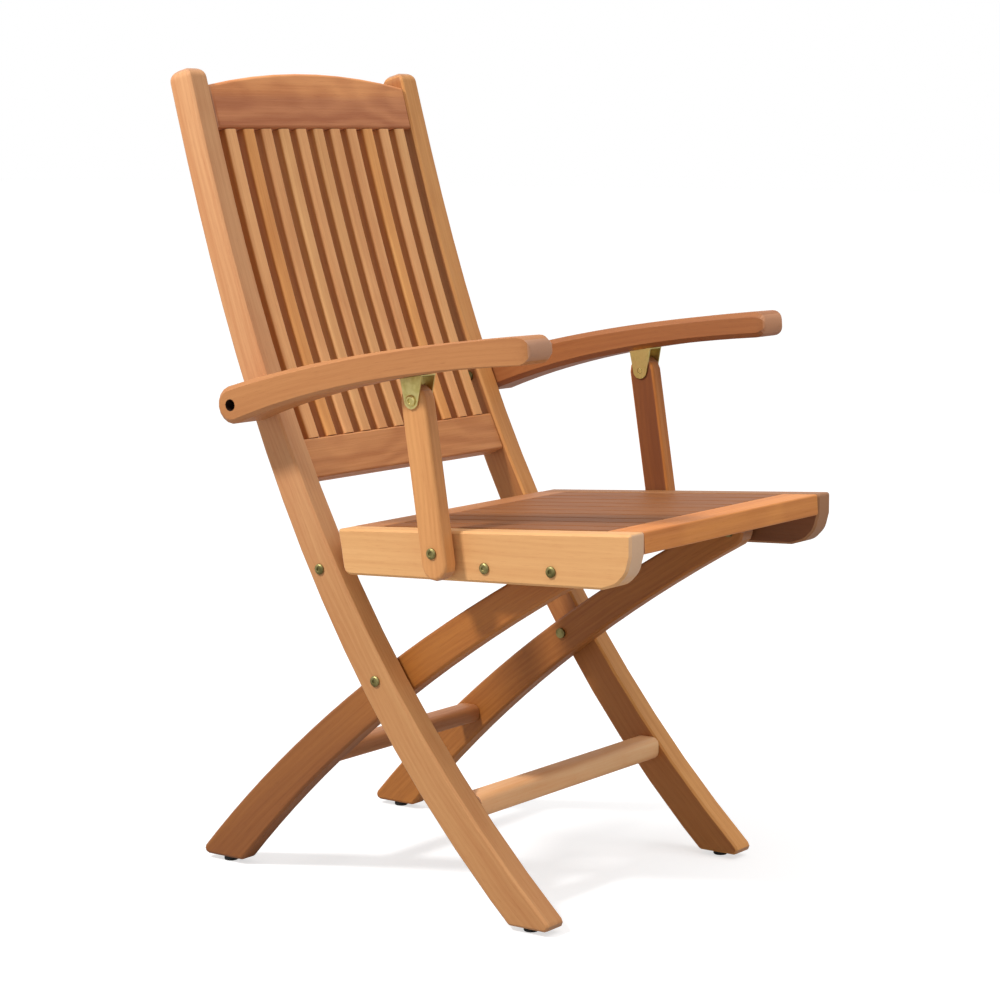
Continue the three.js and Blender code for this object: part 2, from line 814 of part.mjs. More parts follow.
function addPair(name, geometry, material) {
  add(`left_${name}`, geometry, material);
  add(`right_${name}`, mirrored(geometry), material);
}

addPair('post', post(), teak);
add('top_rail', topRail(), redTeak);
add('lower_back_rail', crossPiece('lower_back_rail'), redTeak);
add('front_stretcher', crossPiece('front_stretcher'), teak);
for (let index = 0; index < backSlatCount; index += 1) {
  add(`back_slat_${String(index + 1).padStart(2, '0')}`, backSlat(index), teak);
}

addPair('rear_leg', rearLeg(), teak);
add('rear_stretcher', crossPiece('rear_stretcher'), teak);

addPair('seat_rail', seatRail(), lightTeak);
add('seat_front_rail', crossPiece('seat_front_rail'), lightTeak);
add('seat_rear_rail', crossPiece('seat_rear_rail'), redTeak);
for (let index = 0; index < seatSlatCount; index += 1) {
  add(`seat_slat_${String(index + 1).padStart(2, '0')}`, seatSlat(index), redTeak);
}

addPair('fold_link', foldLink(), brass);
addPair('arm', arm(), lightTeak);
addPair('arm_bracket', bracket(), brass);
addPair('arm_support', support(), teak);

const nutTip = nutHeight + fit;
addPair('crossing_bolt', bolt(crossing, postOuter + fit, rearLegInner - nutTip, {
  nut: true,
  collar: [rearLegOuter + fit, postInner - fit],
}), brass);
addPair('link_post_bolt', bolt(linkPivot, postOuter + fit, linkInner - nutTip, { nut: true }), brass);
addPair('link_seat_bolt', bolt(linkPin, railOuter + fit, linkOuter + 2 * fit, {
  collar: [linkOuter + 2 * fit, railInner - fit],
}), brass);
addPair('leg_seat_bolt', bolt(legPin, railOuter + fit, rearLegInner - nutTip, {
  nut: true,
  collar: [rearLegOuter + fit, railInner - fit],
}), brass);
addPair('support_seat_bolt', bolt(supportPin, supportOuter + fit, railOuter + fit, {
  collar: [railOuter + fit, supportInner - fit],
}), brass);
addPair('bracket_bolt', bolt(supportTop, outerTabOuter + fit, tabInner), brass);
addPair('arm_bolt', bolt(armPivot, armOuter - armBoreDepth + fit, postInner - nutTip, { nut: true }), brass);

addPair('front_foot_pad', pad((postInner + postOuter) / 2, postFootSetback + frontPadInset), rubber);
addPair('rear_foot_pad', pad((rearLegInner + rearLegOuter) / 2, rearFootSetback - rearPadInset), rubber);

const whole = new THREE.Box3().setFromObject(chair);
chair.position.y = -(whole.min.y + whole.max.y) / 2;
chair.updateMatrixWorld(true);

export default chair;
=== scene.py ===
# A folding teak armchair on a white floor: worked wood, brass fittings and rubber feet.
# Metres. X across the chair (the sitter's left is +X), Y rearwards, Z up.

import json
import math

import bpy
import numpy as np
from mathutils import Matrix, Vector


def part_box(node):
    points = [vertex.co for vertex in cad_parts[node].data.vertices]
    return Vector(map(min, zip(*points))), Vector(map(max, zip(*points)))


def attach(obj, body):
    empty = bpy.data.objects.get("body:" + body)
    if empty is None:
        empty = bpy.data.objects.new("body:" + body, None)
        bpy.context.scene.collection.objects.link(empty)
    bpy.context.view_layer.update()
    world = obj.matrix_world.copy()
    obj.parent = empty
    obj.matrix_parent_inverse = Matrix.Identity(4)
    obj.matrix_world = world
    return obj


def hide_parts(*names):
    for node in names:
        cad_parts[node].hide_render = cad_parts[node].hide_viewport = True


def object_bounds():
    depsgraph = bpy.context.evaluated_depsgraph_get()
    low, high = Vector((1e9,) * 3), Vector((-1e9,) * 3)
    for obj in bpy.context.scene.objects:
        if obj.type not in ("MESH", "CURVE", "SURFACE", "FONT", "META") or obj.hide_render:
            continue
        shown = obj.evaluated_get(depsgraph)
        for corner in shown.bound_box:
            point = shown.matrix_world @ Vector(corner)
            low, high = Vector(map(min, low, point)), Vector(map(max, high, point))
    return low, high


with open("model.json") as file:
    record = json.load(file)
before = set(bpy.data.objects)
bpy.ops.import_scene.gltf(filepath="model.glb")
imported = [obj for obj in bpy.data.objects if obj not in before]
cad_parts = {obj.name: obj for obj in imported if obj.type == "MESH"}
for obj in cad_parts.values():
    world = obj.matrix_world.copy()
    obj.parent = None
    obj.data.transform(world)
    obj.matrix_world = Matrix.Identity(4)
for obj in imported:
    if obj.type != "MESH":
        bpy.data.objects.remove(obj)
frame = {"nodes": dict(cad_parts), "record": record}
cad_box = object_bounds()
nodes = frame["nodes"]
behaviour = frame["record"]["behaviour"]
body_of_node = {node: body for body, names in behaviour["bodies"].items() for node in names}
joint_place = {joint["name"]: Vector(joint["pos_m"]) for joint in behaviour["joints"]}

MM = 0.001
SIDES = ("left", "right")

# How wide the edges of each sort of piece are rounded, and in how many steps
SOFT_EDGE = 1.6 * MM
ARM_EDGE = 3.4 * MM
SLAT_EDGE = 0.5 * MM
LEG_EDGE = 1 * MM
SQUARE_EDGE = 0.6 * MM
NOSE_EDGE = 5 * MM
BOLT_EDGE = 0.3 * MM
SHEET_EDGE = 0.4 * MM
PAD_EDGE = 0.4 * MM
EDGE_STEPS = 3
SQUARE_STEPS = 2
END_STEPS = 6

# The angles at which faces meet in a rail's rounded nose, beside a chamfer and at a square corner
NOSE_ANGLES = (math.radians(15), math.radians(38))
CHAMFER_ANGLES = (math.radians(38), math.radians(58))
SQUARE_ANGLES = (math.radians(58), math.pi)
SMOOTH_ANGLE = math.radians(32)
LARGE_FACES_LEAD = 100

# Points nearer than this are one, narrower slivers go, and faces that meet flatter than this are one
MERGE_DISTANCE = 0.05 * MM
SLIVER_WIDTH = MERGE_DISTANCE / 5
FLAT_ANGLE = math.radians(0.3)

# The cosine past which two faces look opposite ways, and how many times a plank is searched for such folds
OPPOSITE = 0.99
FOLD_TRIES = 12

# Rounded ends: where the rounding starts, the plank's way there, how far the rounding reaches, and how much
# it takes off the plank's width and thickness
POST_LEAN = math.radians(15)
ARM_RISE = math.radians(5.05)
POST_END = {
    "start": Vector((0, 0.28677, 0.8783)),
    "way": Vector((0, math.sin(POST_LEAN), math.cos(POST_LEAN))),
    "reach": 11.5 * MM,
    "across_loss": 10 * MM,
    "deep_loss": 11 * MM,
}
ARM_END = {
    "start": Vector((0, -0.19886, 0.60703)),
    "way": Vector((0, -math.cos(ARM_RISE), math.sin(ARM_RISE))),
    "reach": 14 * MM,
    "across_loss": 6 * MM,
    "deep_loss": 13 * MM,
}

# The nose of a seat rail lies ahead of and below this corner, Y and Z
NOSE_LENGTH = 45 * MM
NOSE_DROP = 11.8 * MM
rail_low, rail_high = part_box("left_seat_rail")
RAIL_NOSE = (rail_low.y + NOSE_LENGTH, rail_high.z - NOSE_DROP)

# The hollow at each arm's rear that hides its bolt, where its dark is painted shade
BORE_CENTRE = joint_place["left_arm_hinge"]
BORE_REACH = 6.9 * MM


# Working on a piece

def set_mode(name):
    bpy.ops.object.mode_set(mode=name)


def deselect():
    if bpy.context.object and bpy.context.object.mode == "EDIT":
        set_mode("OBJECT")
    bpy.ops.object.select_all(action="DESELECT")


def activate(piece):
    deselect()
    piece.select_set(True)
    bpy.context.view_layer.objects.active = piece


def edit(piece, action="SELECT"):
    """Opens a piece in edit mode with all of it selected, or nothing of it."""
    activate(piece)
    set_mode("EDIT")
    bpy.ops.mesh.select_all(action=action)


def clear_selection(piece):
    """Leaves no vertex, edge or face of a piece selected, so that code can select some."""
    edit(piece, "DESELECT")
    set_mode("OBJECT")


def copy_of(node, name):
    """A loose copy of a node's solid with its triangles merged back into flat faces."""
    piece = bpy.data.objects.new(name, nodes[node].data.copy())
    bpy.context.scene.collection.objects.link(piece)
    piece.data.materials.clear()
    edit(piece)
    bpy.ops.mesh.remove_doubles(threshold=MERGE_DISTANCE)
    bpy.ops.mesh.dissolve_limited(angle_limit=FLAT_ANGLE)
    bpy.ops.mesh.vert_connect_concave()
    set_mode("OBJECT")
    return piece


def smooth(piece):
    """Smooth shading over soft edges, with flat faces kept flat."""
    activate(piece)
    bpy.ops.object.shade_smooth_by_angle(angle=SMOOTH_ANGLE)
    weighted = piece.modifiers.new("weighted", "WEIGHTED_NORMAL")
    weighted.keep_sharp = True
    weighted.weight = LARGE_FACES_LEAD
    bpy.ops.object.modifier_apply(modifier=weighted.name)


def put_in_place(piece, node, material):
    """Gives a piece its material, its node's body and place."""
    piece.data.materials.append(material)
    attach(piece, body_of_node[node])
    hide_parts(node)


# Rounded edges and ends

def faces_by_edge(piece):
    """The faces on each edge of a piece, by the edge's two vertices."""
    faces = {}
    for face in piece.data.polygons:
        for key in face.edge_keys:
            faces.setdefault(key, []).append(face)
    return faces


def edge_angles(piece):
    """The angle between the two faces of each edge."""
    faces = faces_by_edge(piece)
    pairs = [faces.get(edge.key, ()) for edge in piece.data.edges]
    return [pair[0].normal.angle(pair[1].normal, 0) if len(pair) == 2 else 0 for pair in pairs]


def round_edges(piece, width, angles, steps=EDGE_STEPS, corner=None):
    """Rounds the edges whose faces meet at an angle between the two given, all or only those in a corner."""
    chosen = [float(angles[0] <= angle < angles[1]) for angle in edge_angles(piece)]
    if corner:
        ahead, below = corner
        inside = [vertex.co.y < ahead and vertex.co.z < below for vertex in piece.data.vertices]
        for index, edge in enumerate(piece.data.edges):
            chosen[index] *= all(inside[v] for v in edge.vertices)
    weights = piece.data.attributes.new("bevel_weight_edge", "FLOAT", "EDGE")
    weights.data.foreach_set("value", chosen)
    activate(piece)
    bevel = piece.modifiers.new("round", "BEVEL")
    bevel.width = width
    bevel.segments = steps
    bevel.limit_method = "WEIGHT"
    bevel.use_clamp_overlap = True
    bevel.miter_outer = "MITER_ARC"
    bpy.ops.object.modifier_apply(modifier=bevel.name)
    piece.data.attributes.remove(piece.data.attributes["bevel_weight_edge"])


def folded_edge(piece):
    """The longest edge of a face that lies upside down on its flat neighbour, if there is one."""
    places = [vertex.co for vertex in piece.data.vertices]
    for key, pair in faces_by_edge(piece).items():
        if len(pair) == 2 and pair[0].normal.dot(pair[1].normal) < -OPPOSITE:
            thin = min(pair, key=lambda face: face.area)
            if key == max(thin.edge_keys, key=lambda ends: (places[ends[0]] - places[ends[1]]).length):
                return key
    return None


def lay_folds_flat(piece):
    """Turns the long edges of folded faces, so that all of a plank's flat faces look the same way."""
    for _ in range(FOLD_TRIES):
        key = folded_edge(piece)
        if key is None:
            return
        clear_selection(piece)
        for vertex in key:
            piece.data.vertices[vertex].select = True
        set_mode("EDIT")
        bpy.ops.mesh.edge_rotate()
        set_mode("OBJECT")


def round_end(piece, start, way, reach, across_loss, deep_loss):
    """Cuts a plank square to its way at a start and builds it up again from there as a rounded end."""
    edit(piece)
    bpy.ops.mesh.bisect(plane_co=start, plane_no=way, use_fill=True, clear_outer=True)
    set_mode("OBJECT")
    places = [vertex.co for vertex in piece.data.vertices]
    ring = [place for place in places if abs((place - start).dot(way)) < MERGE_DISTANCE]
    low = Vector([min(place[axis] for place in ring) for axis in range(3)])
    high = Vector([max(place[axis] for place in ring) for axis in range(3)])
    centre = (low + high) / 2
    half_across = (high.x - low.x) / 2
    half_deep = math.hypot(high.y - low.y, high.z - low.z) / 2
    set_mode("EDIT")
    width, depth, height = half_across, half_deep, 0
    for step in range(1, END_STEPS + 1):
        turn = math.pi / 2 * step / END_STEPS
        rise = reach * math.sin(turn) - height
        narrower = half_across - across_loss * (1 - math.cos(turn))
        thinner = half_deep - deep_loss * (1 - math.cos(turn))
        bpy.ops.mesh.extrude_region_move(TRANSFORM_OT_translate={"value": way * rise})
        height += rise
        shares = (narrower / width, thinner / depth, thinner / depth)
        bpy.ops.transform.resize(value=shares, center_override=centre + way * height)
        width, depth = narrower, thinner
    set_mode("OBJECT")


# Grain

def plank_ways(points):
    """A plank's middle and its ways along, across and deep. Across is sideways, or up in a cross rail."""
    middle = (points.min(0) + points.max(0)) / 2
    _, _, ways = np.linalg.svd(points - middle, full_matrices=False)
    along = ways[0] * np.sign(ways[0][np.argmax(np.abs(ways[0]))])
    across = np.array((1.0, 0.0, 0.0))
    if abs(along[0]) > abs(along[1]) + abs(along[2]):
        across = np.array((0.0, 0.0, 1.0))
    across = across - along * (across @ along)
    across /= np.linalg.norm(across)
    return middle, along, across, np.cross(along, across)


def lay_grain(piece, bend):
    """Stores where each point lies in its plank: across, deep and along it, following the plank's bend."""
    points = np.array([vertex.co for vertex in piece.data.vertices])
    middle, along_way, across_way, deep_way = plank_ways(points)
    offsets = points - middle
    along = offsets @ along_way
    deep = offsets @ deep_way
    line = np.polyfit(along, deep, bend)
    slope = np.polyder(line)
    deep_in_plank = (deep - np.polyval(line, along)) / np.hypot(1, np.polyval(slope, along))
    straight = np.stack((offsets @ across_way, deep_in_plank, along), 1)
    grain = piece.data.attributes.new("grain", "FLOAT_VECTOR", "POINT")
    grain.data.foreach_set("vector", straight.astype(np.float32).ravel())

    # How squarely each face cuts across the fibres, and how squarely it looks sideways, which places painted
    # shade on a board's flanks
    shares = {name: np.zeros(len(piece.data.loops), np.float32) for name in ("end", "flank")}
    for face in piece.data.polygons:
        face_along = (np.array(face.center) - middle) @ along_way
        fibre = along_way + deep_way * np.polyval(slope, face_along)
        loops = list(face.loop_indices)
        shares["end"][loops] = abs(np.array(face.normal) @ fibre) / np.linalg.norm(fibre)
        shares["flank"][loops] = abs(np.array(face.normal) @ across_way)
    for name, values in shares.items():
        piece.data.attributes.new(name, "FLOAT", "CORNER").data.foreach_set("value", values)


# Shader nodes

# The curve from a colour as it is seen to its linear value: straight at first, then a power
CURVE_KNEE = 0.04045
CURVE_SLOPE = 12.92
CURVE_LIFT = 0.055
CURVE_POWER = 2.4
WHITE = (1, 1, 1, 1)

# The colour sockets of a Mix node, which has a set of sockets for each kind of value
MIX_FACTOR, MIX_FIRST, MIX_SECOND = 0, 6, 7
MIX_RESULT = 2


def linear(tone):
    """A tone as it is seen, 0 to 255, as the shader's own linear colour. A tone above 255 lightens."""
    shares = [value / 255 for value in tone]
    curved = [((share + CURVE_LIFT) / (1 + CURVE_LIFT)) ** CURVE_POWER for share in shares]
    return [share / CURVE_SLOPE if share <= CURVE_KNEE else c for share, c in zip(shares, curved)] + [1]


def node_of(tree, kind, inputs=None, **settings):
    """A new shader node with its settings made and its inputs linked or filled."""
    made = tree.nodes.new(kind)
    for name, value in settings.items():
        setattr(made, name, value)
    for name, value in (inputs or {}).items():
        socket = made.inputs[name]
        if isinstance(value, bpy.types.NodeSocket):
            tree.links.new(value, socket)
        else:
            socket.default_value = value
    return made


def noise(tree, vector, scale, detail=2, roughness=0.5):
    """Noise stretched along the grain: scale is how many times a metre it changes across, deep and along."""
    mapped = node_of(tree, "ShaderNodeMapping", {"Vector": vector, "Scale": scale}).outputs["Vector"]
    inputs = {"Vector": mapped, "Scale": 1, "Detail": detail, "Roughness": roughness}
    return node_of(tree, "ShaderNodeTexNoise", inputs).outputs["Fac"]


def math_node(tree, operation, *values, clamp=False):
    inputs = dict(enumerate(values))
    return node_of(tree, "ShaderNodeMath", inputs, operation=operation, use_clamp=clamp).outputs[0]


def times(tree, first, second):
    return math_node(tree, "MULTIPLY", first, second)


def plus(tree, first, second, clamp=False):
    return math_node(tree, "ADD", first, second, clamp=clamp)


def remap(tree, value, limits, results=(0, 1)):
    """Brings a value from between two limits to between two results, smoothly."""
    inputs = {"Value": value}
    inputs["From Min"], inputs["From Max"] = limits
    inputs["To Min"], inputs["To Max"] = results
    return node_of(tree, "ShaderNodeMapRange", inputs, interpolation_type="SMOOTHSTEP").outputs["Result"]


def blend_colour(tree, factor, first, second, mode="MIX"):
    inputs = {MIX_FACTOR: factor, MIX_FIRST: first, MIX_SECOND: second}
    return node_of(tree, "ShaderNodeMix", inputs, data_type="RGBA", blend_type=mode).outputs[MIX_RESULT]


def new_material(name):
    """An empty material, with its node tree and its shader."""
    material = bpy.data.materials.new(name)
    material.use_nodes = True
    tree = material.node_tree
    return material, tree, tree.nodes["Principled BSDF"]


# Teak

# Layers of the figure: how many times a metre each changes across, deep and along, then its detail
# and, for the finest fibres, its roughness
BROAD = ((11, 11, 1.6), 2)
BANDS = ((110, 60, 2.2), 3)
FINE = ((520, 420, 9), 3, 0.6)
PORES = ((1700, 1700, 70), 1)
WANDER = ((4, 4, 3.4), 3)

# Growth rings round a heart that lies off the board's face and wanders along it
HEART_OFFSET = (0.006, 0.055, 0)
RINGS_A_METRE = 300
RING_WANDER = 14

# Between which values of its noise each layer sets in, and how much of the deep tone it brings
BROAD_LIMITS = (0.3, 0.7)
BROAD_SHARE = 0.3
BAND_LIMITS = (0.28, 0.72)
BAND_SHARE = 0.6
FINE_LIMITS = (0.28, 0.74)
FINE_SHARE = 0.4
PORE_LIMITS = (0.6, 0.75)
PORE_SHARE = 0.22

# How squarely a face has to look along the fibres, or sideways, to take the tone of an end or the painted
# shade of a flank
END_LIMITS = (0.5, 0.85)
END_SHARE = 0.8
FLANK_LIMITS = (0.75, 0.98)

# Where along a board its low tone sets in, and where across it its crest's tone does
LOW_REACH = (0.12, -0.16)
CREST_REACH = (0.012, 0.024)
CREST_WAVE = 0.02

DULL_LIMITS = (0.2, 0.8)
WOOD_ROUGHNESS = (0.5, 0.62)
FIBRE_HEIGHT = 0.5
PORE_DEPTH = 0.5
WOOD_BUMP = {"Strength": 0.12, "Distance": 0.6 * MM}
WOOD_SHINE = 0.5


def ring_figure(tree, vector, wander):
    """Growth rings, from 0 to 1 and back in each."""
    heart = node_of(tree, "ShaderNodeVectorMath", {0: vector, 1: HEART_OFFSET}, operation="ADD")
    parts = node_of(tree, "ShaderNodeSeparateXYZ", {"Vector": heart.outputs[0]}).outputs
    square = plus(tree, times(tree, parts["X"], parts["X"]), times(tree, parts["Y"], parts["Y"]))
    radius = math_node(tree, "SQRT", square)
    wandered = plus(tree, times(tree, radius, RINGS_A_METRE), times(tree, wander, RING_WANDER))
    return remap(tree, math_node(tree, "PINGPONG", wandered, 1), (0, 1))


def wood_group():
    """Sawn and oiled teak: lengthwise streaks, growth rings, pores, end grain, painted shade on its flanks
    and tones of its parts.
    """
    group = bpy.data.node_groups.new("teak_figure", "ShaderNodeTree")
    inputs = {
        "Vector": ("Vector", "Place"),
        "Color": ("Pale", "Deep", "End Tone", "Flank Shade", "Low Tone", "Crest Tone"),
        "Float": ("Rings", "Streaks", "End", "Flank"),
    }
    outputs = {"Color": ("Colour",), "Float": ("Roughness", "Height")}
    for in_out, sockets in (("INPUT", inputs), ("OUTPUT", outputs)):
        for kind, names in sockets.items():
            for name in names:
                group.interface.new_socket(name=name, in_out=in_out, socket_type=f"NodeSocket{kind}")
    given = group.nodes.new("NodeGroupInput").outputs
    result = group.nodes.new("NodeGroupOutput").inputs

    broad, bands, fine, pores, wander = (
        noise(group, given["Vector"], *layer) for layer in (BROAD, BANDS, FINE, PORES, WANDER)
    )
    streaks = plus(group, times(group, remap(group, bands, BAND_LIMITS), BAND_SHARE),
                   times(group, remap(group, fine, FINE_LIMITS), FINE_SHARE))
    ringed = times(group, ring_figure(group, given["Vector"], wander), given["Rings"])
    figured = plus(group, ringed, times(group, streaks, given["Streaks"]))
    toned = times(group, remap(group, broad, BROAD_LIMITS), BROAD_SHARE)
    colour = blend_colour(group, plus(group, figured, toned, clamp=True), given["Pale"], given["Deep"])
    pore_mask = remap(group, pores, PORE_LIMITS)
    colour = blend_colour(group, times(group, pore_mask, PORE_SHARE), colour, given["Deep"], "MULTIPLY")
    end_share = times(group, remap(group, given["End"], END_LIMITS), END_SHARE)
    colour = blend_colour(group, end_share, colour, given["End Tone"])
    # Painted shade on the board's sides: the flank tone multiplies the faces that look sideways
    flank_shade_share = remap(group, given["Flank"], FLANK_LIMITS)
    colour = blend_colour(group, flank_shade_share, colour, given["Flank Shade"], "MULTIPLY")

    # The colour is multiplied by a low tone towards one end of a board, and by a crest tone along its upper
    # edge
    place = node_of(group, "ShaderNodeSeparateXYZ", {"Vector": given["Place"]}).outputs
    low_share = remap(group, place["Z"], LOW_REACH)
    colour = blend_colour(group, low_share, colour, given["Low Tone"], "MULTIPLY")
    crest_share = remap(group, plus(group, place["X"], times(group, wander, CREST_WAVE)), CREST_REACH)
    colour = blend_colour(group, crest_share, colour, given["Crest Tone"], "MULTIPLY")
    group.links.new(colour, result["Colour"])
    group.links.new(remap(group, fine, DULL_LIMITS, WOOD_ROUGHNESS), result["Roughness"])
    fibres = times(group, fine, FIBRE_HEIGHT)
    height = math_node(group, "SUBTRACT", fibres, times(group, pore_mask, PORE_DEPTH))
    group.links.new(height, result["Height"])
    return group


TEAK_FIGURE = wood_group()

# A tone that changes nothing, and the common tone of cut ends
PLAIN = (255, 255, 255)
END_GRAIN = (184, 138, 110)


def teak(name, pale, deep, cut, rings=0.15, streaks=0.6, end=END_GRAIN, flank=PLAIN, low=PLAIN,
         crest=PLAIN, shine=WOOD_SHINE):
    """Teak of one board. Pale and deep are its colours, and cut is where along the trunk it was sawn.

    Rings and streaks are shares of its figure. End is the tone of its cut ends. Flank, low and crest
    multiply the colour on its sides (as painted shade), towards its low end and along its crest.
    """
    material, tree, shader = new_material(name)
    grain = node_of(tree, "ShaderNodeAttribute", attribute_name="grain").outputs["Vector"]
    moved = node_of(tree, "ShaderNodeMapping", {"Vector": grain, "Location": (0, 0, cut)})
    given = {
        "Vector": moved.outputs["Vector"],
        "Place": grain,
        "End": node_of(tree, "ShaderNodeAttribute", attribute_name="end").outputs["Fac"],
        "Flank": node_of(tree, "ShaderNodeAttribute", attribute_name="flank").outputs["Fac"],
        "Rings": rings,
        "Streaks": streaks,
        "Pale": linear(pale),
        "Deep": linear(deep),
        "End Tone": linear(end),
        "Flank Shade": linear(flank),
        "Low Tone": linear(low),
        "Crest Tone": linear(crest),
    }
    figure = node_of(tree, "ShaderNodeGroup", given, node_tree=TEAK_FIGURE).outputs
    bump = node_of(tree, "ShaderNodeBump", {"Height": figure["Height"], **WOOD_BUMP})
    tree.links.new(figure["Colour"], shader.inputs["Base Color"])
    tree.links.new(figure["Roughness"], shader.inputs["Roughness"])
    tree.links.new(bump.outputs["Normal"], shader.inputs["Normal"])
    shader.inputs["Specular IOR Level"].default_value = shine
    return material


# Wooden pieces

# The degree of the curve that a plank's grain follows
STRAIGHT = 0
BENT = 2
BENT_TWICE = 3


def wooden(node, material, bend=STRAIGHT, soften=SOFT_EDGE, end=None, nose=None):
    """A node's solid with softened edges, any rounded end, and teak laid along it."""
    piece = copy_of(node, f"{node}_wood")
    if nose:
        round_edges(piece, NOSE_EDGE, NOSE_ANGLES, corner=nose)
    round_edges(piece, soften, CHAMFER_ANGLES)
    round_edges(piece, SQUARE_EDGE, SQUARE_ANGLES, SQUARE_STEPS)
    if end:
        round_end(piece, **end)
    edit(piece)
    bpy.ops.mesh.quads_convert_to_tris(ngon_method="BEAUTY")
    bpy.ops.mesh.dissolve_degenerate(threshold=SLIVER_WIDTH)
    set_mode("OBJECT")
    lay_folds_flat(piece)
    lay_grain(piece, bend)
    smooth(piece)
    put_in_place(piece, node, material)
    return piece


def paint_bore_shade(piece, material):
    """Paints the hollow round the arm's bolt a near-black tone: painted shade, where little light reaches.
    """
    dark = len(piece.data.materials)
    piece.data.materials.append(material)
    for face in piece.data.polygons:
        if math.hypot(face.center.y - BORE_CENTRE.y, face.center.z - BORE_CENTRE.z) < BORE_REACH:
            face.material_index = dark


# The boards in pairs, on the near side (the sitter's right) and the far side
# Painted shade for the far boards' sides, whose inner faces turn to the near side in shade
FAR_FLANK_SHADE = (206, 190, 176)
POSTS = {
    "right": {"pale": (220, 165, 114), "deep": (192, 126, 77), "cut": 4.1, "low": (238, 234, 215)},
    "left": {"pale": (225, 163, 94), "deep": (194, 125, 62), "cut": 3.1, "low": (272, 272, 261),
             "flank": FAR_FLANK_SHADE},
}
# The rear legs' grain runs downwards, so their low end is the one at the seat
REAR_LEGS = {
    "right": {"pale": (154, 93, 36), "deep": (126, 67, 20), "cut": 6.3, "low": (312, 320, 302)},
    "left": {"pale": (195, 124, 52), "deep": (156, 90, 30), "cut": 5.3},
}
CALM_FIGURE = {"rings": 0.1, "streaks": 0.5}
# The far seat rail's darker tone is partly its own and partly painted shade of its inner face under the seat
SEAT_RAILS = {
    "right": {"pale": (234, 180, 118), "deep": (210, 148, 89), "cut": 8.7, "end": (222, 184, 152)},
    "left": {"pale": (161, 109, 63), "deep": (142, 88, 45), "cut": 7.7, "end": (168, 116, 76),
             "flank": FAR_FLANK_SHADE},
}
# The far arm's darker tone is partly its own and partly painted shade of its inner face
ARMS = {
    "right": {"pale": (194, 132, 76), "deep": (165, 99, 50), "cut": 10.2, "end": (188, 140, 111)},
    "left": {"pale": (173, 109, 58), "deep": (145, 81, 36), "cut": 9.2, "end": (202, 142, 102)},
}
# Painted shade: a near-black tone for the hollow round each arm's bolt
BORE_SHADE = {"pale": (58, 28, 12), "deep": (40, 18, 8), "end": (40, 18, 8)}
BORE_CUTS = {"right": 10.8, "left": 9.8}
# The far support's flank tone is painted shade on its inner face, under the arm
ARM_SUPPORTS = {
    "right": {"pale": (226, 162, 98), "deep": (196, 128, 70), "cut": 12.4},
    "left": {"pale": (232, 150, 66), "deep": (183, 105, 40), "cut": 11.4, "flank": (158, 142, 132)},
}

for side in SIDES:
    wooden(f"{side}_post", teak(f"teak_{side}_post", **POSTS[side]), BENT_TWICE, end=POST_END)
    wooden(f"{side}_rear_leg", teak(f"teak_{side}_rear_leg", **REAR_LEGS[side]), BENT, soften=LEG_EDGE)
    board = teak(f"teak_{side}_seat_rail", **SEAT_RAILS[side], **CALM_FIGURE)
    wooden(f"{side}_seat_rail", board, nose=RAIL_NOSE)
    board = teak(f"teak_{side}_arm", **ARMS[side], **CALM_FIGURE)
    arm = wooden(f"{side}_arm", board, BENT, ARM_EDGE, ARM_END)
    paint_bore_shade(arm, teak(f"teak_{side}_bore_shade", **BORE_SHADE, cut=BORE_CUTS[side]))
    wooden(f"{side}_arm_support", teak(f"teak_{side}_support", **ARM_SUPPORTS[side]))

# The boards across the chair
TOP_RAIL = {"pale": (220, 146, 94), "deep": (180, 105, 60), "cut": 13.5, "rings": 0.45, "streaks": 0.45,
            "crest": (284, 292, 280)}
LOWER_RAIL = {"pale": (223, 156, 96), "deep": (180, 110, 58), "cut": 14.8, "rings": 0.35, "streaks": 0.45}
FRONT_STRETCHER = {"pale": (255, 206, 152), "deep": (243, 174, 114), "cut": 15.9}
REAR_STRETCHER = {"pale": (196, 132, 80), "deep": (160, 98, 52), "cut": 17.2}
FRONT_RAIL = {"pale": (234, 152, 71), "deep": (197, 114, 44), "cut": 18.6, "rings": 0.25, "streaks": 0.5}
REAR_RAIL = {"pale": (193, 131, 77), "deep": (156, 93, 49), "cut": 19.4}

wooden("top_rail", teak("teak_top_rail", **TOP_RAIL))
wooden("lower_back_rail", teak("teak_lower_rail", **LOWER_RAIL))
wooden("front_stretcher", teak("teak_front_stretcher", **FRONT_STRETCHER))
wooden("rear_stretcher", teak("teak_rear_stretcher", **REAR_STRETCHER))
wooden("seat_front_rail", teak("teak_front_rail", **FRONT_RAIL))
wooden("seat_rear_rail", teak("teak_rear_rail", **REAR_RAIL))

# The boards of the back, from the sitter's right to left, differ in tone: pinkish brown, orange and straw
PINK_BOARD = {"pale": (252, 189, 125), "deep": (209, 139, 82)}
ORANGE_BOARD = {"pale": (249, 180, 104), "deep": (208, 132, 64)}
STRAW_BOARD = {"pale": (247, 188, 123), "deep": (210, 143, 84)}
BACK_BOARDS = (PINK_BOARD, ORANGE_BOARD, PINK_BOARD, STRAW_BOARD, PINK_BOARD, STRAW_BOARD,
               PINK_BOARD, PINK_BOARD, ORANGE_BOARD, PINK_BOARD, STRAW_BOARD)
# The back boards' flank tone is painted shade in the narrow gaps between them
BACK_FIGURE = {"rings": 0.15, "streaks": 0.5, "flank": (200, 170, 122)}
BACK_CUT = 21
BACK_CUT_STEP = 1.7
SEAT_BOARD = {"pale": (147, 92, 49), "deep": (121, 70, 32), "rings": 0.2, "streaks": 0.4, "shine": 0.2}
SEAT_CUT = 43
SEAT_CUT_STEP = 1.9


